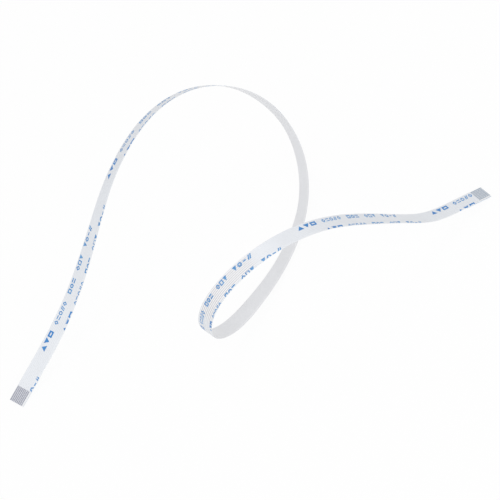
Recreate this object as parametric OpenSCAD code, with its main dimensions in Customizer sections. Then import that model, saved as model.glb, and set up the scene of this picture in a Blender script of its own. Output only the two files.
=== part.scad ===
// Flat flexible ribbon cable with eight conductors, lying in one loose loop.
// Two polyester films are laminated over flat copper conductors. At each end
// the printed film stops short, so the conductors lie bare as contacts, and a
// stiffener tape under them makes the end thick enough to push into a socket.
// Lengths are in millimetres. The floor is z = 0.

/* [Cable] */
// Length of the cable, measured along its middle
cable_length = 350; // [250:5:600]
// Number of flat conductors
conductor_count = 8; // [4:1:12]
// Spacing of the conductors, middle to middle
pitch = 0.5; // [0.5:0.05:1]

/* [Conductors] */
// Width of one conductor
conductor_w = 0.3; // [0.2:0.01:0.35]
// Thickness of one conductor
conductor_t = 0.05; // [0.03:0.005:0.08]
// Middle of an outer conductor to the edge of the ribbon, before the shift
edge_margin = 0.5; // [0.45:0.05:1]
// Shift of the whole row of conductors toward the first edge
row_shift = 0.2; // [0:0.05:0.2]

/* [Films] */
// Film and adhesive that cover a conductor on the printed side
cover_t = 0.05; // [0.03:0.005:0.1]
// Thickness of the plain film on the other side
plain_film_t = 0.05; // [0.03:0.005:0.1]
// Length of bare contact at the start, where the film is cut further back
start_strip = 4.6; // [3:0.1:6]
// Length of bare contact at the other end
end_strip = 4; // [3:0.1:6]

/* [Stiffeners] */
// Length of the stiffener tape under each end
stiffener_length = 9; // [7:0.5:12]
// Thickness of the stiffener tape
stiffener_t = 0.2; // [0.1:0.01:0.3]

/* [Hidden] */
// Each row is a point that the middle of the ribbon bends toward, and its lean:
// 0 has the printed face up, 90 stands on edge, 180 has the printed face down.
// The first three rows and the last three are in line, which keeps the
// stiffened ends straight.
route = [
    [-71.5, 5, 1, 24],
    [-62.5, 9.5, 4, 24],
    [-53.5, 14, 7, 24],
    [-43.5, 18.5, 12.5, 6],
    [-34.5, 22.5, 19.5, 3],
    [-25.5, 26, 28, -8],
    [-17.5, 30, 34.5, -17],
    [-6, 34.5, 40.5, -18],
    [6, 37.5, 43, -27],
    [18, 39.5, 39.5, -32],
    [28, 37.5, 32, -49],
    [33.5, 32.5, 21, -98],
    [33, 24.5, 11.5, -137],
    [28, 15.5, 4.5, -152],
    [20.5, 8.5, 0.5, -163],
    [11, 0, 0, -175],
    [1, -10, 4, -193],
    [-7.5, -18, 8, -208],
    [-13.5, -26, 16.5, -216],
    [-15, -32.5, 27, -253],
    [-11.5, -36.5, 37.5, -311],
    [-3, -39, 45.5, -331],
    [10, -38.5, 48.5, -342],
    [22.5, -36, 45, -346],
    [31.5, -32, 37, -338],
    [39, -28.5, 28, -341],
    [46, -25, 19, -348],
    [53, -21.5, 9.5, -349],
    [62, -18, 5, -349],
    [71, -14.5, 0.5, -349]
];

// Cross-section, worked out from the sizes above. Across the ribbon, plus is
// toward the first edge. Through it, 0 is the face where the two films meet.
ribbon_w = (conductor_count - 1) * pitch + 2 * edge_margin;
printed_film_t = conductor_t + cover_t;
contact_low = -plain_film_t - stiffener_t;
function conductor_mid(k) =
    row_shift + ((conductor_count - 1) / 2 - k) * pitch;
function land_mid(k) = conductor_mid(k) - pitch / 2;

// Smooth curve through the route: each place mixes four neighbouring rows, and
// one more row, mirrored past each end, carries the ends straight on.
last = len(route) - 1;
function row(i) =
    i < 0 ? 2 * route[0] - route[1]
    : i > last ? 2 * route[last] - route[last - 1]
    : route[i];
function mix(i, w) =
    w[0] * row(i - 1) + w[1] * row(i) + w[2] * row(i + 1) + w[3] * row(i + 2);
function weights(f) = [
    pow(1 - f, 3) / 6,
    (3 * f * f * f - 6 * f * f + 4) / 6,
    (-3 * f * f * f + 3 * f * f + 3 * f + 1) / 6,
    f * f * f / 6
];
function slopes(f) = [
    -pow(1 - f, 2) / 2,
    (3 * f * f - 4 * f) / 2,
    (-3 * f * f + 2 * f + 1) / 2,
    f * f / 2
];
function whole(u) = min(floor(u), last - 1);
function place(u) = mix(whole(u), weights(u - whole(u)));
function heading(u) = mix(whole(u), slopes(u - whole(u)));

function xyz(p) = [p[0], p[1], p[2]];
function unit(v) = v / norm(v);
function total(v, i = 0) = i == len(v) ? 0 : v[i] + total(v, i + 1);

// The route is scaled so that the ribbon along it has the cable's length.
samples = 8 * last;
route_length = total([
    for (i = [1 : samples])
        norm(xyz(place(i * last / samples) - place((i - 1) * last / samples)))
]);
size = cable_length / route_length;

// Stations along the ribbon: both ends, both strip edges and even steps
// between them. Inside the first and the last step the ribbon is straight.
start_step = size * norm(xyz(route[1] - route[0]));
end_step = size * norm(xyz(route[last] - route[last - 1]));
function from_start(d) = d / start_step;
function from_end(d) = last - d / end_step;
bend_steps = 65;
bends = [for (i = [0 : bend_steps]) 1 + i * (last - 2) / bend_steps];
film_stations = concat(
    [from_start(start_strip)], bends, [from_end(end_strip)]
);
full_stations = concat([0], film_stations, [last]);

// Frame of the ribbon at a station: middle, way across and way out of the
// printed face. The way across turns with the lean and stays square to the run.
function frame(u) =
    let (
        p = place(u),
        t = unit(xyz(heading(u))),
        level = unit(cross([0, 0, 1], t)),
        rise = cross(t, level)
    )
    [
        size * xyz(p),
        cos(p[3]) * level + sin(p[3]) * rise,
        cos(p[3]) * rise - sin(p[3]) * level
    ];
function at(f, s) = f[0] + s[0] * f[1] + s[1] * f[2];

// Box of the ribbon, which puts its middle over the origin and its lowest
// corner on the floor.
corners = [
    for (a = [-ribbon_w / 2, ribbon_w / 2])
        for (
            uh = concat(
                [for (u = [0, last]) [u, contact_low]],
                [for (u = full_stations) [u, -plain_film_t]],
                [for (u = film_stations) [u, printed_film_t]]
            )
        ) at(frame(uh[0]), [a, uh[1]])
];
function col(i) = [for (c = corners) c[i]];
seat = [
    -(min(col(0)) + max(col(0))) / 2,
    -(min(col(1)) + max(col(1))) / 2,
    -min(col(2))
];

// Closed solid that carries a section along the stations. Every strip is split
// the same way across the ribbon, so pieces that touch share their faces.
module sweep(stations, section) {
    m = len(section);
    n = len(stations);
    points = [
        for (u = stations)
            let (f = frame(u))
            for (s = section) seat + at(f, s)
    ];
    function falls(p, q) = p[0] > q[0] || p[0] == q[0] && p[1] > q[1];
    walls = [
        for (i = [0 : n - 2], j = [0 : m - 1])
            let (
                k = (j + 1) % m,
                a = i * m + j,
                b = i * m + k,
                c = a + m,
                d = b + m
            )
            for (
                tri = falls(section[j], section[k])
                    ? [[a, b, d], [a, d, c]]
                    : [[a, b, c], [b, d, c]]
            ) tri
    ];
    start = [for (j = [m - 1 : -1 : 0]) j];
    finish = [for (j = [0 : m - 1]) (n - 1) * m + j];
    polyhedron(points = points, faces = concat(walls, [start, finish]));
}

// Places across the ribbon where its faces are split, from one edge to the
// other: at the middles of the lands on the outside, and at the sides of the
// conductors on the inside.
outer_cuts = concat(
    [ribbon_w / 2],
    [for (k = [0 : conductor_count - 2]) land_mid(k)],
    [-ribbon_w / 2]
);
inner_cuts = [
    for (k = [0 : conductor_count - 1], side = [0.5, -0.5])
        conductor_mid(k) + side * conductor_w
];

// Printed film, with a channel in its inner face over every conductor
printed_section = concat(
    [for (a = outer_cuts) [a, printed_film_t]],
    [[-ribbon_w / 2, 0]],
    [
        for (k = [conductor_count - 1 : -1 : 0])
            let (r = conductor_mid(k) - conductor_w / 2, l = r + conductor_w)
            for (s = [[r, 0], [r, conductor_t], [l, conductor_t], [l, 0]]) s
    ],
    [[ribbon_w / 2, 0]]
);

// Plain film, with its inner face split where the conductors lie on it
plain_section = concat(
    [[ribbon_w / 2, 0]],
    [for (a = inner_cuts) [a, 0]],
    [[-ribbon_w / 2, 0]],
    [
        for (i = [conductor_count : -1 : 0])
            [outer_cuts[i], -plain_film_t]
    ]
);

function conductor_section(k) =
    let (l = conductor_mid(k) + conductor_w / 2, r = l - conductor_w)
    [[l, conductor_t], [r, conductor_t], [r, 0], [l, 0]];

module printed_film() {
    color("whitesmoke") sweep(film_stations, printed_section);
}

module plain_film() {
    color("gainsboro") sweep(full_stations, plain_section);
}

module conductor(k) {
    color("darkkhaki") sweep(full_stations, conductor_section(k));
}

// Tape under one end, cut off square with the films. It runs from the end at
// station u back along the ribbon, which is forward where way is 1.
module stiffener(u, way) {
    f = frame(u);
    run = way * unit(xyz(heading(u)));
    across = cross(f[2], run);
    corner = seat + at(f, [0, contact_low]) - across * ribbon_w / 2;
    color("aliceblue")
        multmatrix([
            for (i = [0 : 2]) [run[i], across[i], f[2][i], corner[i]]
        ])
            cube([stiffener_length, ribbon_w, stiffener_t]);
}

module start_stiffener() { stiffener(0, 1); }
module end_stiffener() { stiffener(last, -1); }

printed_film();
plain_film();
conductor(0);  // conductor_1
conductor(1);  // conductor_2
conductor(2);  // conductor_3
conductor(3);  // conductor_4
conductor(4);  // conductor_5
conductor(5);  // conductor_6
conductor(6);  // conductor_7
conductor(7);  // conductor_8
start_stiffener();
end_stiffener();
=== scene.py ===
"""Looks of a flat ribbon cable that lies in one loose loop on a pale floor.

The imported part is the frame. The cable is carried along the part's own route
at a finer step: a plain film at the back, eight flat conductors, and a printed
film in front that stops short of both ends, where the conductors lie bare as
contacts. Two rows of small blue marks run along the printed film.
"""

import logging
import math
from bisect import bisect_right
from collections.abc import Sequence
from dataclasses import dataclass, field
from enum import Enum

import bmesh
import bpy
from mathutils import Matrix, Vector


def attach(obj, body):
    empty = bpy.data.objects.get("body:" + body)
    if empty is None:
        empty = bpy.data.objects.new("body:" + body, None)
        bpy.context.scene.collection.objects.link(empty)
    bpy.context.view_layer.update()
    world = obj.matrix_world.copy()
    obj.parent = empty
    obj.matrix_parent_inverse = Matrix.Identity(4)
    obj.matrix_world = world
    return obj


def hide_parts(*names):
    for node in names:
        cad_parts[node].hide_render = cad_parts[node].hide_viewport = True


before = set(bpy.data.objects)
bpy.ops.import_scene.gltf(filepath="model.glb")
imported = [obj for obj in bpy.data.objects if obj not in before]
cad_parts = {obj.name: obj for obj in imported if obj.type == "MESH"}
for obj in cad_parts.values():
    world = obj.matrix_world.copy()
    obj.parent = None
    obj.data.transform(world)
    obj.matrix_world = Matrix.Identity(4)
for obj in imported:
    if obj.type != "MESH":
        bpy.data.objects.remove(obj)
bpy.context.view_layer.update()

LOG = logging.getLogger("ribbon_cable")
BODY = "root"
MM = 0.001

# Sizes that the pieces and the finishes share, in millimetres. Across the
# ribbon, plus is toward the first edge. Through it, plus is toward the print.
WIDTH = 4.5
PITCH = 0.5  # from one conductor to the next
SHIFT = 0.2  # of the row of conductors, off the middle
MARGIN_AT = -1.74  # where the margin past the last conductor begins
CONDUCTOR_T = 0.05
FILM_T = 0.05  # of either film, where a conductor lies
TAPE_T = 0.2
PRINTED_DIP = 0.022  # of the printed face, between the conductors

HALF = 0.5  # of a shape of size one, before it is stretched
POLYESTER_IOR = 1.57
NOISE_RANGE = (0.2, 0.8)  # nearly all of a noise lies in it

Row = tuple[float, float, float, float]
Section = list[tuple[float, float]]
Value = float | Sequence[float] | bpy.types.NodeSocket

# Points that the middle of the ribbon bends toward, in metres, and its lean in
# degrees: 0 has the printed face up and 180 has it down. The first three rows
# and the last three are in line, so the stiffened ends are straight.
ROUTE_ROWS: tuple[Row, ...] = (
    (-0.0715, 0.0050, 0.0010, 24),
    (-0.0625, 0.0095, 0.0040, 24),
    (-0.0535, 0.0140, 0.0070, 24),
    (-0.0435, 0.0185, 0.0125, 6),
    (-0.0345, 0.0225, 0.0195, 3),
    (-0.0255, 0.0260, 0.0280, -8),
    (-0.0175, 0.0300, 0.0345, -17),
    (-0.0060, 0.0345, 0.0405, -18),
    (0.0060, 0.0375, 0.0430, -27),
    (0.0180, 0.0395, 0.0395, -32),
    (0.0280, 0.0375, 0.0320, -49),
    (0.0335, 0.0325, 0.0210, -98),
    (0.0330, 0.0245, 0.0115, -137),
    (0.0280, 0.0155, 0.0045, -152),
    (0.0205, 0.0085, 0.0005, -163),
    (0.0110, 0.0000, 0.0000, -175),
    (0.0010, -0.0100, 0.0040, -193),
    (-0.0075, -0.0180, 0.0080, -208),
    (-0.0135, -0.0260, 0.0165, -216),
    (-0.0150, -0.0325, 0.0270, -253),
    (-0.0115, -0.0365, 0.0375, -311),
    (-0.0030, -0.0390, 0.0455, -331),
    (0.0100, -0.0385, 0.0485, -342),
    (0.0225, -0.0360, 0.0450, -346),
    (0.0315, -0.0320, 0.0370, -338),
    (0.0390, -0.0285, 0.0280, -341),
    (0.0460, -0.0250, 0.0190, -348),
    (0.0530, -0.0215, 0.0095, -349),
    (0.0620, -0.0180, 0.0050, -349),
    (0.0710, -0.0145, 0.0005, -349),
)


def linear(colour: str) -> tuple[float, float, float, float]:
    """Turns an sRGB hex colour to linear.

    Args:
        colour: Six hex digits after a hash sign.

    Returns:
        Red, green, blue and an alpha of one.
    """
    parts = [int(colour[i : i + 2], 16) / 255 for i in (1, 3, 5)]
    red, green, blue = (
        c / 12.92 if c <= 0.04045 else ((c + 0.055) / 1.055) ** 2.4 for c in parts
    )
    return red, green, blue, 1.0


def add_node(
    tree: bpy.types.NodeTree,
    kind: str,
    inputs: dict[str | int, Value] | None = None,
    **settings: object,
) -> bpy.types.Node:
    """Adds one node with its settings, its constant inputs and its links.

    Args:
        tree: Node tree that gets the node.
        kind: Blender's name of the node type.
        inputs: Socket name or number, with a constant or the socket to link.
        **settings: Properties of the node itself.

    Returns:
        The new node.
    """
    node = tree.nodes.new(kind)
    for name, setting in settings.items():
        setattr(node, name, setting)
    for key, value in (inputs or {}).items():
        if isinstance(value, bpy.types.NodeSocket):
            tree.links.new(value, node.inputs[key])
        else:
            node.inputs[key].default_value = value
    return node


def new_material(
    name: str,
) -> tuple[bpy.types.Material, bpy.types.NodeTree, bpy.types.Node]:
    """Starts a material with nodes.

    Args:
        name: Name of the material.

    Returns:
        The material, its node tree and its own shader.
    """
    material = bpy.data.materials.new(name)
    material.use_nodes = True
    tree = material.node_tree
    return material, tree, tree.nodes["Principled BSDF"]


def add_white_share(tree: bpy.types.NodeTree) -> bpy.types.NodeSocket:
    """Adds the nodes that tell which rays see the surroundings as plain white.

    Args:
        tree: Node tree that gets the nodes.

    Returns:
        Socket that is 1 for camera, glossy and transmission rays, and 0 for
        the rays that light the object.
    """
    rays = add_node(tree, "ShaderNodeLightPath").outputs
    share = rays["Is Camera Ray"]
    for kind in ("Is Glossy Ray", "Is Transmission Ray"):
        share = add_node(
            tree, "ShaderNodeMath", {0: share, 1: rays[kind]}, operation="MAXIMUM"
        ).outputs[0]
    return share


class Part(Enum):
    """Names of material slots of the record, one for each kind of new piece."""

    PRINTED_FILM = "printed_film"
    PLAIN_FILM = "plain_film"
    CONTACTS = "contacts"


@dataclass(frozen=True)
class Outline:
    """A mark with corners, which lie on a circle before it is stretched.

    Wide and tall stretch the circle and count in the mark's own size. The
    square root of two fits a square to the mark, and 1.15 and 4/3 a triangle.
    """

    corners: int
    turn: float
    wide: float
    tall: float
    solid: bool = False


@dataclass(frozen=True)
class Strokes:
    """A mark of equal straight strokes, in shares of the mark's own size.

    Places are the strokes' middles, and the span goes from end to end.
    """

    places: tuple[tuple[float, float], ...]
    span: tuple[float, float]


class Mark(Enum):
    """Plain geometric shapes of the printed marks."""

    FRAME = Outline(4, 45, math.sqrt(2), math.sqrt(2))
    DIAMOND = Outline(4, 0, 1.1, 1.1)
    NUT = Outline(6, 90, 1.1, 1.0)
    WEDGE = Outline(3, 0, 1.15, 4 / 3, solid=True)
    DROP = Outline(3, 180, 1.15, 4 / 3, solid=True)
    HATCH = Strokes(((-0.21, 0), (0.21, 0)), (0.43, 0.97))
    RUNGS = Strokes(((0, 0.28), (0, -0.28)), (1.0, 0))
    DASH = Strokes(((0, 0),), (0.7, 0))


@dataclass
class Route:
    """Middle line of the ribbon, with its lean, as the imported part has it.

    It is a uniform cubic B-spline, and the rows are its control points. The
    printed film stops short of the ends by the strips. The bend steps are the
    part's own, and the other steps are counted from row to row.
    """

    rows: tuple[Row, ...] = ROUTE_ROWS
    length: float = 350 * MM
    half_width: float = WIDTH / 2 * MM
    printed_height: float = (CONDUCTOR_T + FILM_T) * MM
    plain_depth: float = FILM_T * MM
    tape_depth: float = (FILM_T + TAPE_T) * MM
    start_strip: float = 4.6 * MM
    end_strip: float = 4 * MM
    bend_steps: int = 65
    scale_steps: int = 8
    table_steps: int = 40
    scale: float = field(init=False, default=1.0)
    seat: Vector = field(init=False, default_factory=Vector)
    places: list[float] = field(init=False)
    runs: list[float] = field(init=False)

    def __post_init__(self) -> None:
        """Works out the scale, the length table and the seat on the floor."""
        self.scale = self.length / self._measure(self.scale_steps * self.last)[-1]
        count = self.table_steps * self.last
        self.places = [i * self.last / count for i in range(count + 1)]
        runs = self._measure(count)
        self.runs = [r * self.length / runs[-1] for r in runs]
        self.seat = self._seat()

    @property
    def last(self) -> int:
        """Number of the last row."""
        return len(self.rows) - 1

    def _row(self, i: int) -> Vector:
        """Gives a row, or one mirrored past an end.

        Args:
            i: Number of the row.

        Returns:
            The row's point and its lean.
        """
        rows, last = self.rows, self.last
        if i < 0:
            return 2 * Vector(rows[0]) - Vector(rows[1])
        if i > last:
            return 2 * Vector(rows[last]) - Vector(rows[last - 1])
        return Vector(rows[i])

    def _mix(self, i: int, weights: Sequence[float]) -> Vector:
        """Mixes four neighbouring rows."""
        return sum(
            (w * self._row(i - 1 + k) for k, w in enumerate(weights)),
            Vector((0, 0, 0, 0)),
        )

    def _place(self, u: float) -> Vector:
        """Gives the point and the lean at a place of the ribbon.

        Args:
            u: Place counted in rows.

        Returns:
            The point, before it is scaled and seated, and the lean in degrees.
        """
        i = min(int(u), self.last - 1)
        f = u - i
        weights = (
            (1 - f) ** 3 / 6,
            (3 * f**3 - 6 * f**2 + 4) / 6,
            (-3 * f**3 + 3 * f**2 + 3 * f + 1) / 6,
            f**3 / 6,
        )
        return self._mix(i, weights)

    def _heading(self, u: float) -> Vector:
        """Gives the direction of the run at a place of the ribbon.

        Args:
            u: Place counted in rows.

        Returns:
            A vector of length one.
        """
        i = min(int(u), self.last - 1)
        f = u - i
        slopes = (
            -((1 - f) ** 2) / 2,
            (3 * f**2 - 4 * f) / 2,
            (-3 * f**2 + 2 * f + 1) / 2,
            f**2 / 2,
        )
        return self._mix(i, slopes).xyz.normalized()

    def _measure(self, count: int) -> list[float]:
        """Adds up the length along the whole ribbon.

        Args:
            count: Number of equal steps, counted in rows.

        Returns:
            The length from the start to each step, the start among them.
        """
        points = [
            self.scale * self._place(i * self.last / count).xyz
            for i in range(count + 1)
        ]
        total = [0.0]
        for p, q in zip(points, points[1:]):
            total.append(total[-1] + (q - p).length)
        return total

    def _frame_at(self, u: float) -> Matrix:
        """Gives the ribbon's frame at a place of the ribbon.

        Args:
            u: Place counted in rows.

        Returns:
            A matrix with x along, y across and z out of the printed face.
        """
        place, run = self._place(u), self._heading(u)
        level = Vector((0, 0, 1)).cross(run).normalized()
        rise = run.cross(level)
        lean = math.radians(place.w)
        across = math.cos(lean) * level + math.sin(lean) * rise
        out = math.cos(lean) * rise - math.sin(lean) * level
        origin = self.scale * place.xyz + self.seat
        turned = Matrix((run, across, out)).transposed().to_4x4()
        return Matrix.Translation(origin) @ turned

    def _seat(self) -> Vector:
        """Finds the move that centres the part's own box and stands it on z = 0.

        Returns:
            The move, worked out from the sections that the part has.
        """
        last = self.last
        first = self.scale * (self._row(1) - self._row(0)).xyz.length
        final = self.scale * (self._row(last) - self._row(last - 1)).xyz.length
        bends = [
            1 + i * (last - 2) / self.bend_steps for i in range(self.bend_steps + 1)
        ]
        film = [self.start_strip / first, *bends, last - self.end_strip / final]
        ends = [0.0, float(last)]
        levels = (
            [(u, -self.tape_depth) for u in ends]
            + [(u, -self.plain_depth) for u in ends + film]
            + [(u, self.printed_height) for u in film]
        )
        corners = [
            self._frame_at(u) @ Vector((0, side * self.half_width, height))
            for u, height in levels
            for side in (-1, 1)
        ]
        low = [min(c[i] for c in corners) for i in range(3)]
        high = [max(c[i] for c in corners) for i in range(3)]
        return Vector((-(low[0] + high[0]) / 2, -(low[1] + high[1]) / 2, -low[2]))

    def frame(self, run: float) -> Matrix:
        """Gives the ribbon's frame at a distance from the start end.

        Args:
            run: Distance along the middle of the ribbon, in metres.

        Returns:
            Matrix whose x runs along, y across toward the first edge and z out
            of the printed face.
        """
        i = min(max(bisect_right(self.runs, run) - 1, 0), len(self.runs) - 2)
        step = (run - self.runs[i]) / (self.runs[i + 1] - self.runs[i])
        u = self.places[i] + step * (self.places[i + 1] - self.places[i])
        return self._frame_at(min(max(u, 0.0), float(self.last)))

    def stations(self, start: float, finish: float, step: float) -> list[float]:
        """Gives even distances from start to finish.

        Args:
            start: First distance, in metres.
            finish: Last distance, in metres.
            step: Longest step between them, in metres.

        Returns:
            The distances, both ends among them.
        """
        count = math.ceil((finish - start) / step)
        return [start + i * (finish - start) / count for i in range(count + 1)]

    def centreline(self, step: float = 2 * MM) -> list[Vector]:
        """Gives the points that the middle of the ribbon follows."""
        return [
            self.frame(s).translation for s in self.stations(0, self.length, step)
        ]


@dataclass(frozen=True)
class FilmFinish:
    """Polyester film, white-filled and calendered, laminated over the conductors.

    It is smooth and satin-glossy. The adhesive between the conductors shows as
    fine grey lines along it. In the tight bend the film over the conductors is
    painted lighter and the lines darker, a painted highlight and painted shade
    of the ridges there. The margins, which have no metal behind them, look
    clearer. Places and widths are in millimetres along the ribbon and across
    it. The rollers' grain is too fine to show, so it is drawn as coarse as 0.6 mm.
    """

    name: str
    body: str
    line: str
    # Tones of the tight bend: a painted highlight on the body, painted shade in the
    # lines.
    bend_lit_body: str
    bend_shaded_line: str
    margin: str
    rim: str
    roughness: tuple[float, float] = (0.29, 0.39)
    ior: float = POLYESTER_IOR
    pitch: float = PITCH
    shift: float = SHIFT
    line_core: float = 0.03
    line_edge: float = 0.125
    # Where the bend's painted highlight and shade lie and fade, in mm along the ribbon.
    painted_bend_at: float = 251.0
    painted_bend_half: float = 9.0
    painted_bend_gone: float = 15.0
    second_margin: float = MARGIN_AT
    margin_blend: float = 0.08
    rim_from: float = 2.14
    rim_blend: float = 0.06
    mottle_mm: float = 6.0
    mottle_middle: tuple[float, float] = (0.3, 0.7)
    mottle_tone: float = 0.015
    grain_mm: float = 0.6
    grain_depth_mm: float = 0.02
    grain_strength: float = 0.05

    def build(self) -> bpy.types.Material:
        """Builds the material.

        Returns:
            A material that reads the piece's own along and across attributes.
        """
        material, tree, shader = new_material(self.name)
        place = add_node(tree, "ShaderNodeTexCoord").outputs["Object"]
        mottle = add_node(
            tree,
            "ShaderNodeTexNoise",
            {"Vector": place, "Scale": 1 / (self.mottle_mm * MM), "Detail": 2.0},
        ).outputs["Fac"]
        tree.links.new(self._colour(tree, mottle), shader.inputs["Base Color"])
        grain = add_node(
            tree,
            "ShaderNodeTexNoise",
            {"Vector": place, "Scale": 1 / (self.grain_mm * MM), "Detail": 3.0},
        ).outputs["Fac"]
        bump = add_node(
            tree,
            "ShaderNodeBump",
            {
                "Strength": self.grain_strength,
                "Distance": self.grain_depth_mm * MM,
                "Height": grain,
            },
        ).outputs[0]
        tree.links.new(bump, shader.inputs["Normal"])
        low, high = NOISE_RANGE
        bright, dull = self.roughness
        satin = add_node(
            tree, "ShaderNodeMapRange", {0: mottle, 1: low, 2: high, 3: bright, 4: dull}
        ).outputs[0]
        tree.links.new(satin, shader.inputs["Roughness"])
        shader.inputs["IOR"].default_value = self.ior
        return material

    def _colour(
        self, tree: bpy.types.NodeTree, mottle: bpy.types.NodeSocket
    ) -> bpy.types.NodeSocket:
        """Colours the film by its place along and across the ribbon.

        Args:
            tree: Node tree that gets the nodes.
            mottle: Slow noise that shifts the tone a little.

        Returns:
            The socket with the film's colour.
        """
        along, across = (
            add_node(tree, "ShaderNodeAttribute", attribute_name=name).outputs["Fac"]
            for name in ("along", "across")
        )
        # Near the tight bend the body is painted lighter and the lines darker: a
        # painted highlight and painted shade of the ridges.
        offset = add_node(
            tree,
            "ShaderNodeMath",
            {0: along, 1: self.painted_bend_at},
            operation="SUBTRACT",
        ).outputs[0]
        away = add_node(
            tree, "ShaderNodeMath", {0: offset}, operation="ABSOLUTE"
        ).outputs[0]
        beyond_painted_bend = add_node(
            tree,
            "ShaderNodeMapRange",
            {0: away, 1: self.painted_bend_half, 2: self.painted_bend_gone, 3: 0.0, 4: 1.0},
            interpolation_type="SMOOTHSTEP",
        ).outputs[0]
        over_metal, between = (
            add_node(
                tree,
                "ShaderNodeMix",
                {0: beyond_painted_bend, 6: linear(bend_painted), 7: linear(usual)},
                data_type="RGBA",
            ).outputs[2]
            for bend_painted, usual in (
                (self.bend_lit_body, self.body),
                (self.bend_shaded_line, self.line),
            )
        )
        moved = add_node(
            tree, "ShaderNodeMath", {0: across, 1: self.shift}, operation="SUBTRACT"
        ).outputs[0]
        beside = add_node(
            tree, "ShaderNodeMath", {0: moved, 1: self.pitch / 2}, operation="PINGPONG"
        ).outputs[0]
        line = add_node(
            tree,
            "ShaderNodeMapRange",
            {0: beside, 1: self.line_core, 2: self.line_edge, 3: 1.0, 4: 0.0},
            interpolation_type="SMOOTHSTEP",
        ).outputs[0]
        colour = add_node(
            tree,
            "ShaderNodeMix",
            {0: line, 6: over_metal, 7: between},
            data_type="RGBA",
        ).outputs[2]
        out = add_node(
            tree, "ShaderNodeMath", {0: across}, operation="ABSOLUTE"
        ).outputs[0]
        for place, inner, outer, tone in (
            (
                across,
                self.second_margin,
                self.second_margin - self.margin_blend,
                self.margin,
            ),
            (out, self.rim_from, self.rim_from + self.rim_blend, self.rim),
        ):
            share = add_node(
                tree,
                "ShaderNodeMapRange",
                {0: place, 1: inner, 2: outer, 3: 0.0, 4: 1.0},
            ).outputs[0]
            colour = add_node(
                tree,
                "ShaderNodeMix",
                {0: share, 6: colour, 7: linear(tone)},
                data_type="RGBA",
            ).outputs[2]
        low, high = self.mottle_middle
        dark, light = 1 - self.mottle_tone, 1 + self.mottle_tone
        tone = add_node(
            tree, "ShaderNodeMapRange", {0: mottle, 1: low, 2: high, 3: dark, 4: light}
        ).outputs[0]
        return add_node(
            tree, "ShaderNodeHueSaturation", {"Color": colour, "Value": tone}
        ).outputs[0]


@dataclass(frozen=True)
class TinFinish:
    """Rolled copper strip plated with matt tin.

    The plating is a soft grey metal, and the rolling leaves fine lines along
    the strip that break the reflection. At the start end it is painted darker,
    a painted shade that evens out the lamp's highlight there. The real lines
    are a few thousandths of a millimetre wide, too fine to show, so they are
    drawn 0.06 mm wide. The painted-shade start and the fresh plating each have
    a light and a dark tone, and one turns into the other between two places,
    which are in millimetres along the ribbon.
    """

    name: str = "tinned_copper"
    # The first pair is the start end's tones, darkened as painted shade; the second is
    # the plating's own.
    start_shaded: tuple[str, str] = ("#9DA0AD", "#8D909D")
    fresh: tuple[str, str] = ("#AFBAC7", "#A7B2BE")
    # Where the start end's painted shade fades out, in millimetres along the ribbon.
    start_shade_to: float = 100.0
    start_shade_gone: float = 250.0
    roughness: tuple[float, float] = (0.34, 0.5)
    line_mm: float = 0.06
    line_stretch: float = 25.0
    line_dark: tuple[float, float] = (0.35, 0.7)
    line_depth_mm: float = 0.005
    line_strength: float = 0.05

    def build(self) -> bpy.types.Material:
        """Builds the material.

        Returns:
            A material that reads the piece's own along and across attributes.
        """
        material, tree, shader = new_material(self.name)
        along, across = (
            add_node(tree, "ShaderNodeAttribute", attribute_name=name).outputs["Fac"]
            for name in ("along", "across")
        )
        slow = add_node(
            tree, "ShaderNodeMath", {0: along, 1: self.line_stretch}, operation="DIVIDE"
        ).outputs[0]
        strip = add_node(tree, "ShaderNodeCombineXYZ", {0: slow, 1: across}).outputs[0]
        lines = add_node(
            tree,
            "ShaderNodeTexNoise",
            {"Vector": strip, "Scale": 1 / self.line_mm, "Detail": 2.0},
        ).outputs["Fac"]
        low, high = self.line_dark
        worn = add_node(
            tree, "ShaderNodeMapRange", {0: lines, 1: low, 2: high, 3: 0.0, 4: 1.0}
        ).outputs[0]
        tones = [
            add_node(
                tree,
                "ShaderNodeMix",
                {0: worn, 6: linear(light), 7: linear(dark)},
                data_type="RGBA",
            ).outputs[2]
            for light, dark in (self.start_shaded, self.fresh)
        ]
        # Darker toward the start end: painted shade, fading out along the ribbon.
        far = add_node(
            tree,
            "ShaderNodeMapRange",
            {0: along, 1: self.start_shade_to, 2: self.start_shade_gone, 3: 0.0, 4: 1.0},
        ).outputs[0]
        colour = add_node(
            tree, "ShaderNodeMix", {0: far, 6: tones[0], 7: tones[1]}, data_type="RGBA"
        ).outputs[2]
        tree.links.new(colour, shader.inputs["Base Color"])
        low, high = NOISE_RANGE
        bright, dull = self.roughness
        rough = add_node(
            tree, "ShaderNodeMapRange", {0: lines, 1: low, 2: high, 3: bright, 4: dull}
        ).outputs[0]
        tree.links.new(rough, shader.inputs["Roughness"])
        bump = add_node(
            tree,
            "ShaderNodeBump",
            {
                "Strength": self.line_strength,
                "Distance": self.line_depth_mm * MM,
                "Height": lines,
            },
        ).outputs[0]
        tree.links.new(bump, shader.inputs["Normal"])
        shader.inputs["Metallic"].default_value = 1.0
        return material


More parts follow.
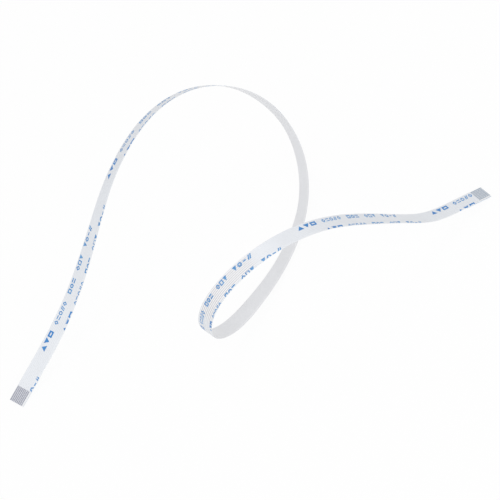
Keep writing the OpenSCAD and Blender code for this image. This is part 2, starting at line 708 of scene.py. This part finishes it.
@dataclass(frozen=True)
class PatchyFinish:
    """A smooth finish of two tones, the second in soft patches.

    The roughness goes from the glossiest spots to the dullest.
    """

    name: str
    body: str
    thin: str
    roughness: tuple[float, float]
    patch_mm: float
    patch_share: tuple[float, float]
    patch_depth_mm: float
    patch_strength: float
    ior: float = POLYESTER_IOR

    def build(self) -> bpy.types.Material:
        """Builds the material.

        Returns:
            A material that reads Object coordinates.
        """
        material, tree, shader = new_material(self.name)
        place = add_node(tree, "ShaderNodeTexCoord").outputs["Object"]
        patches = add_node(
            tree,
            "ShaderNodeTexNoise",
            {"Vector": place, "Scale": 1 / (self.patch_mm * MM), "Detail": 3.0},
        ).outputs["Fac"]
        low, high = self.patch_share
        part = add_node(
            tree, "ShaderNodeMapRange", {0: patches, 1: low, 2: high, 3: 0.0, 4: 1.0}
        ).outputs[0]
        colour = add_node(
            tree,
            "ShaderNodeMix",
            {0: part, 6: linear(self.body), 7: linear(self.thin)},
            data_type="RGBA",
        ).outputs[2]
        tree.links.new(colour, shader.inputs["Base Color"])
        bump = add_node(
            tree,
            "ShaderNodeBump",
            {
                "Strength": self.patch_strength,
                "Distance": self.patch_depth_mm * MM,
                "Height": patches,
            },
        ).outputs[0]
        tree.links.new(bump, shader.inputs["Normal"])
        bright, dull = self.roughness
        shader.inputs["Roughness"].default_value = bright
        if dull > bright:
            low, high = NOISE_RANGE
            rough = add_node(
                tree,
                "ShaderNodeMapRange",
                {0: patches, 1: low, 2: high, 3: bright, 4: dull},
            ).outputs[0]
            tree.links.new(rough, shader.inputs["Roughness"])
        shader.inputs["IOR"].default_value = self.ior
        return material


@dataclass(frozen=True)
class TapeFinish(PatchyFinish):
    """Pale blue polyester stiffener tape, slit and bonded under the end.

    It is smooth and slightly glossier than the films, with faint patches of
    adhesive under it.
    """

    name: str = "stiffener_tape"
    body: str = "#D3DEEC"
    thin: str = "#C6D4E6"
    roughness: tuple[float, float] = (0.24, 0.36)
    patch_mm: float = 1.5
    patch_share: tuple[float, float] = (0.35, 0.65)
    patch_depth_mm: float = 0.02
    patch_strength: float = 0.08


@dataclass(frozen=True)
class InkFinish(PatchyFinish):
    """Blue marking ink, jetted onto the film and dried as glossy as it.

    The ink lies unevenly, so its blue is patchy within a mark.
    """

    roughness: tuple[float, float] = (0.34, 0.34)
    patch_mm: float = 0.7
    patch_share: tuple[float, float] = (0.35, 0.7)
    patch_depth_mm: float = 0.01
    patch_strength: float = 0.1


@dataclass(frozen=True)
class PaperFinish:
    """Matt white backdrop paper, which the camera sees as plain white."""

    name: str = "backdrop_paper"
    body: str = "#F6F6F6"
    white: float = 0.94

    def build(self) -> bpy.types.Material:
        """Builds the material.

        Returns:
            A material that is paper to the light and nearly white to the eye.
        """
        material = bpy.data.materials.new(self.name)
        material.use_nodes = True
        tree = material.node_tree
        tree.nodes.clear()
        share = add_node(
            tree,
            "ShaderNodeMath",
            {0: add_white_share(tree), 1: self.white},
            operation="MULTIPLY",
        ).outputs[0]
        paper = add_node(
            tree, "ShaderNodeBsdfDiffuse", {"Color": linear(self.body)}
        ).outputs[0]
        glow = add_node(
            tree, "ShaderNodeEmission", {"Color": (1, 1, 1, 1), "Strength": 1.0}
        ).outputs[0]
        mixed = add_node(
            tree, "ShaderNodeMixShader", {0: share, 1: paper, 2: glow}
        ).outputs[0]
        add_node(tree, "ShaderNodeOutputMaterial", {"Surface": mixed})
        return material


@dataclass
class Bench:
    """Turns finished bmeshes into pieces that ride on the cable's body."""

    sharp_angle: float = 27.0

    def add(
        self,
        name: str,
        bm: bmesh.types.BMesh,
        materials: Sequence[bpy.types.Material],
        part: Part,
    ) -> bpy.types.Object:
        """Makes an object at the origin from a bmesh and frees the bmesh.

        Args:
            name: Name of the piece.
            bm: Finished mesh, in the part's frame.
            materials: Materials in the order of the faces' material numbers.
            part: Material slot of the record. Not used.

        Returns:
            The piece, which rides on the cable.
        """
        mesh = bpy.data.meshes.new(name)
        bm.to_mesh(mesh)
        bm.free()
        for material in materials:
            mesh.materials.append(material)
        mesh.shade_smooth()
        mesh.set_sharp_from_angle(angle=math.radians(self.sharp_angle))
        piece = bpy.data.objects.new(name, mesh)
        bpy.context.scene.collection.objects.link(piece)
        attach(piece, BODY)
        LOG.info("%s: %d faces", name, len(mesh.polygons))
        return piece


@dataclass
class Laminate:
    """Two films with flat conductors between them, carried along the route.

    Sizes are in millimetres. Across the ribbon, plus is toward the first edge.
    Through it, 0 is the face where the films meet. Over each conductor a film
    has a flat crown, and a shoulder that has sunk by a share of the dip.
    """

    route: Route
    bench: Bench
    conductor_count: int = 8
    pitch: float = PITCH
    shift: float = SHIFT
    width: float = WIDTH
    conductor_w: float = 0.3
    conductor_t: float = CONDUCTOR_T
    corner_ease: float = 0.012
    cover_t: float = FILM_T
    plain_t: float = FILM_T
    step: float = 1.0
    printed_dip: float = PRINTED_DIP
    plain_dip: float = 0.012
    crown_half: float = 0.1
    shoulder_half: float = 0.17
    shoulder_dip: float = 0.35
    rim: float = 0.03

    def mid(self, k: int) -> float:
        """Gives the middle of a conductor, across the ribbon."""
        return self.shift + ((self.conductor_count - 1) / 2 - k) * self.pitch

    def ridges(self, top: float, dip: float) -> Section:
        """Outlines a film's outer face, raised over every conductor.

        Args:
            top: Height of the face over a conductor.
            dip: How far it sinks between conductors.

        Returns:
            Points from the first edge to the second.
        """
        half, sign = self.width / 2, math.copysign(1, top)
        low = top - sign * dip
        shoulder = top - sign * dip * self.shoulder_dip
        edge = low - sign * self.rim / 2
        points: Section = [(half, edge), (half - self.rim, low)]
        for k in range(self.conductor_count):
            mid = self.mid(k)
            points += [
                (mid + self.shoulder_half, shoulder),
                (mid + self.crown_half, top),
                (mid - self.crown_half, top),
                (mid - self.shoulder_half, shoulder),
                (mid - self.pitch / 2, low),
            ]
        return points + [(self.rim - half, low), (-half, edge)]

    def printed_section(self) -> Section:
        """Outlines the printed film, with a channel over every conductor.

        Returns:
            Points around the section.
        """
        half = self.width / 2
        points = self.ridges(self.conductor_t + self.cover_t, self.printed_dip)
        points.append((-half, 0.0))
        for k in reversed(range(self.conductor_count)):
            right = self.mid(k) - self.conductor_w / 2
            left = right + self.conductor_w
            points += [
                (right, 0.0),
                (right, self.conductor_t),
                (left, self.conductor_t),
                (left, 0.0),
            ]
        return points + [(half, 0.0)]

    def plain_section(self) -> Section:
        """Outlines the plain film, flat inside and ridged outside.

        Returns:
            Points around the section.
        """
        half = self.width / 2
        outside = self.ridges(-self.plain_t, self.plain_dip)
        return [(half, 0.0), (-half, 0.0)] + outside[::-1]

    def conductor_section(self, k: int) -> Section:
        """Outlines one conductor, with its rolled corners eased.

        Args:
            k: Number of the conductor, from the first edge.

        Returns:
            Points around the section.
        """
        ease, top = self.corner_ease, self.conductor_t
        left = self.mid(k) + self.conductor_w / 2
        right = left - self.conductor_w
        return [
            (left, ease),
            (left, top - ease),
            (left - ease, top),
            (right + ease, top),
            (right, top - ease),
            (right, ease),
            (right + ease, 0.0),
            (left - ease, 0.0),
        ]

    def carry(
        self, sections: Sequence[Section], start: float, finish: float
    ) -> bmesh.types.BMesh:
        """Extrudes closed sections along the route and closes both ends.

        Args:
            sections: Points of each section, in order, in millimetres.
            start: Where the solids start, in millimetres along the ribbon.
            finish: Where they end.

        Returns:
            A mesh of closed solids that face outwards. Its along and across
            attributes give each point's place on the ribbon.
        """
        bm = bmesh.new()
        layers = bm.verts.layers.float
        along, across, height = (
            layers.new(name) for name in ("along", "across", "height")
        )
        stations = self.route.stations(start * MM, finish * MM, self.step * MM)
        place = self.route.frame(stations[0])
        edges: list[bmesh.types.BMEdge] = []
        for section in sections:
            ring = []
            for a, h in section:
                vert = bm.verts.new(place @ Vector((0, a * MM, h * MM)))
                vert[along], vert[across], vert[height] = start, a, h
                ring.append(vert)
            edges += [bm.edges.new((v, w)) for v, w in zip(ring, ring[1:] + ring[:1])]
        first = list(edges)
        for station in stations[1:]:
            grown = bmesh.ops.extrude_edge_only(bm, edges=edges)["geom"]
            place = self.route.frame(station)
            for vert in (g for g in grown if isinstance(g, bmesh.types.BMVert)):
                vert[along] = station / MM
                vert.co = place @ Vector((0, vert[across] * MM, vert[height] * MM))
            edges = [g for g in grown if isinstance(g, bmesh.types.BMEdge)]
        for rim in (first, edges):
            bmesh.ops.edgeloop_fill(bm, edges=rim)
        bmesh.ops.recalc_face_normals(bm, faces=bm.faces)
        return bm

    def build(
        self,
        printed: bpy.types.Material,
        plain: bpy.types.Material,
        tin: bpy.types.Material,
    ) -> tuple[bpy.types.Object, bpy.types.Object, bpy.types.Object]:
        """Builds the plain film, the printed film and the conductors.

        Args:
            printed: Finish of the printed film.
            plain: Finish of the plain film.
            tin: Finish of the conductors.

        Returns:
            The three pieces, the plain film first.
        """
        length = self.route.length / MM
        start, finish = self.route.start_strip / MM, self.route.end_strip / MM
        bm = self.carry([self.plain_section()], 0, length)
        back = self.bench.add("back_film", bm, [plain], Part.PLAIN_FILM)
        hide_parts("plain_film")
        bm = self.carry([self.printed_section()], start, length - finish)
        front = self.bench.add("front_film", bm, [printed], Part.PRINTED_FILM)
        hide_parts("printed_film")
        sections = [self.conductor_section(k) for k in range(self.conductor_count)]
        bm = self.carry(sections, 0, length)
        strips = self.bench.add("conductor_strips", bm, [tin], Part.CONTACTS)
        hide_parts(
            *(f"conductor_{k + 1}" for k in range(self.conductor_count))
        )
        return back, front, strips


@dataclass
class Stiffeners:
    """The part's own tapes under the two ends, which only get their finish."""

    names: tuple[str, str] = ("start_stiffener", "end_stiffener")

    def dress(self, tape: bpy.types.Material) -> None:
        """Gives both tapes their finish.

        Args:
            tape: Finish of the tapes.
        """
        for name in self.names:
            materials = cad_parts[name].data.materials
            materials.clear()
            materials.append(tape)
            LOG.info("%s: %s", name, tape.name)


@dataclass(frozen=True)
class Group:
    """One group of marks within a legend, in millimetres from its start."""

    start: float
    finish: float
    stroke: float
    marks: tuple[Mark, ...]
    bold: bool = False


LEGEND: tuple[Group, ...] = (
    Group(0.0, 6.2, stroke=0.46, marks=(Mark.WEDGE, Mark.DROP, Mark.FRAME), bold=True),
    Group(
        8.3,
        15.3,
        stroke=0.28,
        marks=(Mark.DIAMOND, Mark.RUNGS, Mark.NUT, Mark.HATCH, Mark.DIAMOND),
    ),
    Group(17.8, 22.4, stroke=0.36, marks=(Mark.FRAME, Mark.NUT, Mark.RUNGS)),
    Group(24.8, 29.4, stroke=0.31, marks=(Mark.DIAMOND, Mark.FRAME, Mark.DROP)),
    Group(
        31.8, 38.1, stroke=0.36, marks=(Mark.DROP, Mark.NUT, Mark.DASH, Mark.HATCH)
    ),
)


@dataclass(frozen=True)
class PrintRow:
    """One row of legends on the film, in millimetres.

    Its middle lies at the centre and drifts across by the slant along every
    legend. A row may be cut off at the film's second edge.
    """

    name: str
    first: float
    centre: float
    slant: float
    cut_at: float | None = None


PERIOD = 52.35  # from one legend to the next, in millimetres
FIRST_ROW = PrintRow("ink_first_row", first=16.3, centre=1.17, slant=0.008)
SECOND_ROW = PrintRow(
    "ink_second_row", first=23.7 - PERIOD, centre=-2.15, slant=0.004, cut_at=-2.22
)


@dataclass
class Legend:
    """Rows of plain geometric marks, printed along the front film.

    Sizes are in millimetres, along the ribbon and across it. Low and high are
    the ink's own faces above the one where the films meet, the low one inside
    the film. A row is at its centre where level_at lies within a legend.
    """

    route: Route
    bench: Bench
    groups: tuple[Group, ...] = LEGEND
    period: float = PERIOD
    mark_h: float = 1.31
    gap: float = 0.28
    level_at: float = 19.0
    low: float = 0.06
    high: float = 0.108
    past_ridges: float = MARGIN_AT
    ridge_h: float = PRINTED_DIP
    clear: float = 0.1
    bend_step: float = 0.5
    bend_cuts: int = 2

    def strokes(
        self,
        bm: bmesh.types.BMesh,
        shape: Strokes,
        size: tuple[float, float],
        thick: float,
    ) -> list[bmesh.types.BMVert]:
        """Makes straight strokes of one size about the origin.

        Args:
            bm: Mesh that gets the strokes.
            shape: Places and span of the strokes.
            size: Width and height of the whole mark.
            thick: Width of a stroke.

        Returns:
            The strokes' vertices.
        """
        run, rise = (share * side for share, side in zip(shape.span, size))
        made: list[bmesh.types.BMVert] = []
        for x, y in shape.places:
            made += bmesh.ops.create_grid(
                bm,
                x_segments=1,
                y_segments=1,
                size=HALF,
                matrix=Matrix.Translation((x * size[0], y * size[1], 0))
                @ Matrix.Rotation(math.atan2(rise, run), 4, "Z")
                @ Matrix.Diagonal((math.hypot(run, rise), thick, 1, 1)),
            )["verts"]
        return made

    def outline(
        self,
        bm: bmesh.types.BMesh,
        shape: Outline,
        size: tuple[float, float],
        stroke: float,
    ) -> list[bmesh.types.BMVert]:
        """Makes a solid or an open polygon about the origin.

        Args:
            bm: Mesh that gets the polygon.
            shape: Corners and proportions of the polygon.
            size: Width and height of the whole mark.
            stroke: Width of the line around an open one.

        Returns:
            The polygon's vertices.
        """
        verts = bmesh.ops.create_circle(
            bm,
            cap_ends=True,
            segments=shape.corners,
            radius=HALF,
            matrix=Matrix.Diagonal((size[0] * shape.wide, size[1] * shape.tall, 1, 1))
            @ Matrix.Rotation(math.radians(shape.turn), 4, "Z"),
        )["verts"]
        levels = [v.co.y for v in verts]
        middle = (min(levels) + max(levels)) / 2
        bmesh.ops.translate(bm, verts=verts, vec=(0, -middle, 0))
        if shape.solid:
            return verts
        inside = verts[0].link_faces[0]
        rim = bmesh.ops.inset_region(
            bm,
            faces=[inside],
            thickness=stroke,
            use_even_offset=True,
            use_boundary=True,
        )["faces"]
        bmesh.ops.delete(bm, geom=[inside], context="FACES_ONLY")
        return list({v for f in rim for v in f.verts})

    def flat(
        self, bm: bmesh.types.BMesh, mark: Mark, width: float, stroke: float
    ) -> list[bmesh.types.BMVert]:
        """Makes one flat mark about the origin and gives its vertices."""
        make = self.outline if isinstance(mark.value, Outline) else self.strokes
        return make(bm, mark.value, (width, self.mark_h), stroke)

    def print_row(
        self, row: PrintRow, inks: Sequence[bpy.types.Material]
    ) -> bpy.types.Object:
        """Prints one row of legends.

        Args:
            row: Place and slant of the row.
            inks: The plain ink and the bold ink.

        Returns:
            The piece that holds the row's marks.
        """
        bm = bmesh.new()
        length = self.route.length / MM
        start = row.first
        while start < length:
            for group in self.groups:
                self._group(bm, row, group, start)
            start += self.period
        begin = self.route.start_strip / MM + self.clear
        end = length - self.route.end_strip / MM - self.clear
        cuts = [((begin, 0, 0), (-1, 0, 0)), ((end, 0, 0), (1, 0, 0))]
        if row.cut_at is not None:
            cuts.append(((0, row.cut_at, 0), (0, -1, 0)))
        for point, out in cuts:
            bmesh.ops.bisect_plane(
                bm,
                geom=[*bm.verts, *bm.edges, *bm.faces],
                plane_co=point,
                plane_no=out,
                clear_outer=True,
            )
        self._bend(bm)
        return self.bench.add(row.name, bm, inks, Part.PRINTED_FILM)

    def _group(
        self, bm: bmesh.types.BMesh, row: PrintRow, group: Group, start: float
    ) -> None:
        """Lays one group of a legend out flat, on the row's slant.

        Args:
            bm: Mesh that gets the marks.
            row: Row that the legend is in.
            group: Group of marks.
            start: Where the legend starts along the ribbon.
        """
        count = len(group.marks)
        width = (group.finish - group.start - (count - 1) * self.gap) / count
        for i, mark in enumerate(group.marks):
            middle = group.start + width / 2 + i * (width + self.gap)
            across = row.centre + row.slant * (middle - self.level_at)
            verts = self.flat(bm, mark, width, group.stroke)
            bmesh.ops.translate(bm, verts=verts, vec=(start + middle, across, 0))
            for face in {f for v in verts for f in v.link_faces}:
                face.material_index = int(group.bold)

    def _bend(self, bm: bmesh.types.BMesh) -> None:
        """Gives flat marks their thickness and bends them onto the film.

        Past the last conductor the film lies lower, and the ink lies with it.
        The faces are turned outward while each mark is still flat, because
        that can fail on a thin bent one.

        Args:
            bm: Mesh with flat marks, in millimetres.
        """
        long = [e for e in bm.edges if e.calc_length() > self.bend_step]
        bmesh.ops.subdivide_edges(
            bm, edges=long, cuts=self.bend_cuts, use_grid_fill=True
        )
        bmesh.ops.translate(bm, verts=bm.verts, vec=(0, 0, self.low))
        grown = bmesh.ops.extrude_face_region(
            bm, geom=list(bm.faces), use_keep_orig=True
        )["geom"]
        tops = [g for g in grown if isinstance(g, bmesh.types.BMVert)]
        bmesh.ops.translate(bm, verts=tops, vec=(0, 0, self.high - self.low))
        outer = [v for v in tops if v.co.y < self.past_ridges]
        bmesh.ops.translate(bm, verts=outer, vec=(0, 0, -self.ridge_h))
        bmesh.ops.recalc_face_normals(bm, faces=bm.faces)
        for vert in bm.verts:
            x, y, z = vert.co
            vert.co = self.route.frame(x * MM) @ Vector((0, y * MM, z * MM))


@dataclass(frozen=True)
class Lamp:
    """One soft round lamp, aimed at the middle of the floor."""

    name: str
    at: tuple[float, float, float]
    size: float
    watts: float

    def build(self) -> None:
        """Adds the lamp, which the camera doesn't see."""
        data = bpy.data.lights.new(self.name, "AREA")
        data.shape = "DISK"
        data.size = self.size
        data.energy = self.watts
        lamp = bpy.data.objects.new(self.name, data)
        lamp.location = self.at
        lamp.rotation_euler = (-Vector(self.at)).to_track_quat("-Z", "Y").to_euler()
        lamp.visible_camera = False
        bpy.context.scene.collection.objects.link(lamp)
        LOG.info("%s: %.2f m across, %.2f W", self.name, self.size, self.watts)


@dataclass
class Studio:
    """Camera at the photograph's angle, soft lamps and a white floor."""

    camera_at: tuple[float, float, float] = (0.0070911, -0.6673529, 0.6797415)
    elevation: float = 45.0
    roll: float = -30.0
    lens: float = 246.2
    sensor: float = 36.0
    nearest: float = 0.05
    farthest: float = 20.0
    floor_half: float = 3.0
    floor_cells: int = 8
    world_light: float = 0.74
    lamps: tuple[Lamp, ...] = (
        Lamp("front_lamp", at=(0.0, -1.1, 0.75), size=1.3, watts=5.6),
        Lamp("top_lamp", at=(0.05, 0.05, 1.0), size=0.4, watts=0.75),
    )

    def add_camera(self) -> None:
        """Adds the camera at the photograph's angle."""
        data = bpy.data.cameras.new("photo_camera")
        data.lens = self.lens
        data.sensor_width = self.sensor
        data.sensor_fit = "AUTO"
        data.clip_start = self.nearest
        data.clip_end = self.farthest
        camera = bpy.data.objects.new("photo_camera", data)
        turn = Matrix.Rotation(math.radians(90 - self.elevation), 4, "X")
        roll = Matrix.Rotation(math.radians(self.roll), 4, "Z")
        camera.matrix_world = Matrix.Translation(self.camera_at) @ turn @ roll
        bpy.context.scene.collection.objects.link(camera)
        bpy.context.scene.camera = camera
        LOG.info("camera: lens %.1f mm", self.lens)

    def add_floor(self, paper: bpy.types.Material) -> None:
        """Adds the floor, which isn't part of the object.

        Args:
            paper: Finish of the floor.
        """
        bm = bmesh.new()
        cells = self.floor_cells
        bmesh.ops.create_grid(
            bm, x_segments=cells, y_segments=cells, size=self.floor_half
        )
        mesh = bpy.data.meshes.new("floor")
        bm.to_mesh(mesh)
        bm.free()
        mesh.materials.append(paper)
        floor = bpy.data.objects.new("floor", mesh)
        bpy.context.scene.collection.objects.link(floor)
        LOG.info("floor: %.1f m across", 2 * self.floor_half)

    def add_light(self) -> None:
        """Adds the soft lamps and the white surroundings."""
        for lamp in self.lamps:
            lamp.build()
        world = bpy.data.worlds.new("white_room")
        world.use_nodes = True
        tree = world.node_tree
        strength = add_node(
            tree,
            "ShaderNodeMapRange",
            {0: add_white_share(tree), 3: self.world_light, 4: 1.0},
        ).outputs[0]
        back = tree.nodes["Background"]
        back.inputs["Color"].default_value = (1, 1, 1, 1)
        tree.links.new(strength, back.inputs["Strength"])
        bpy.context.scene.world = world
        LOG.info("white surroundings: %.2f", self.world_light)


def main() -> None:
    """Builds the cable, the floor, the lamps and the camera, in order."""
    logging.basicConfig(level=logging.INFO, format="%(message)s")
    bpy.context.scene.view_settings.view_transform = "Standard"
    studio, route, bench = Studio(), Route(), Bench()
    studio.add_camera()

    # In both films the bend tones are painted light: the lighter body a painted
    # highlight, the darker line painted shade.
    printed = FilmFinish(
        name="printed_polyester_film",
        body="#E6E9EE",
        line="#DDE0E5",
        bend_lit_body="#F5F5F7",
        bend_shaded_line="#B2B2B8",
        margin="#E4E7EB",
        rim="#E4E7EC",
    ).build()
    plain = FilmFinish(
        name="plain_polyester_film",
        body="#E5E6E9",
        line="#E3E4E7",
        bend_lit_body="#E5E6E9",
        bend_shaded_line="#DFE0E3",
        margin="#EAEBED",
        rim="#D6D7DA",
    ).build()
    tin = TinFinish().build()
    tape = TapeFinish().build()
    inks = (
        InkFinish("blue_ink", body="#3E80BD", thin="#6CA4D5").build(),
        InkFinish("blue_ink_heavy", body="#2074BC", thin="#468ECC").build(),
    )

    back, front, strips = Laminate(route, bench).build(printed, plain, tin)
    legend = Legend(route, bench)
    first_row = legend.print_row(FIRST_ROW, inks)
    second_row = legend.print_row(SECOND_ROW, inks)
    Stiffeners().dress(tape)
    route.frame(0).translation
    route.centreline()
    studio.add_floor(PaperFinish().build())
    studio.add_light()


if __name__ == "__main__":
    main()
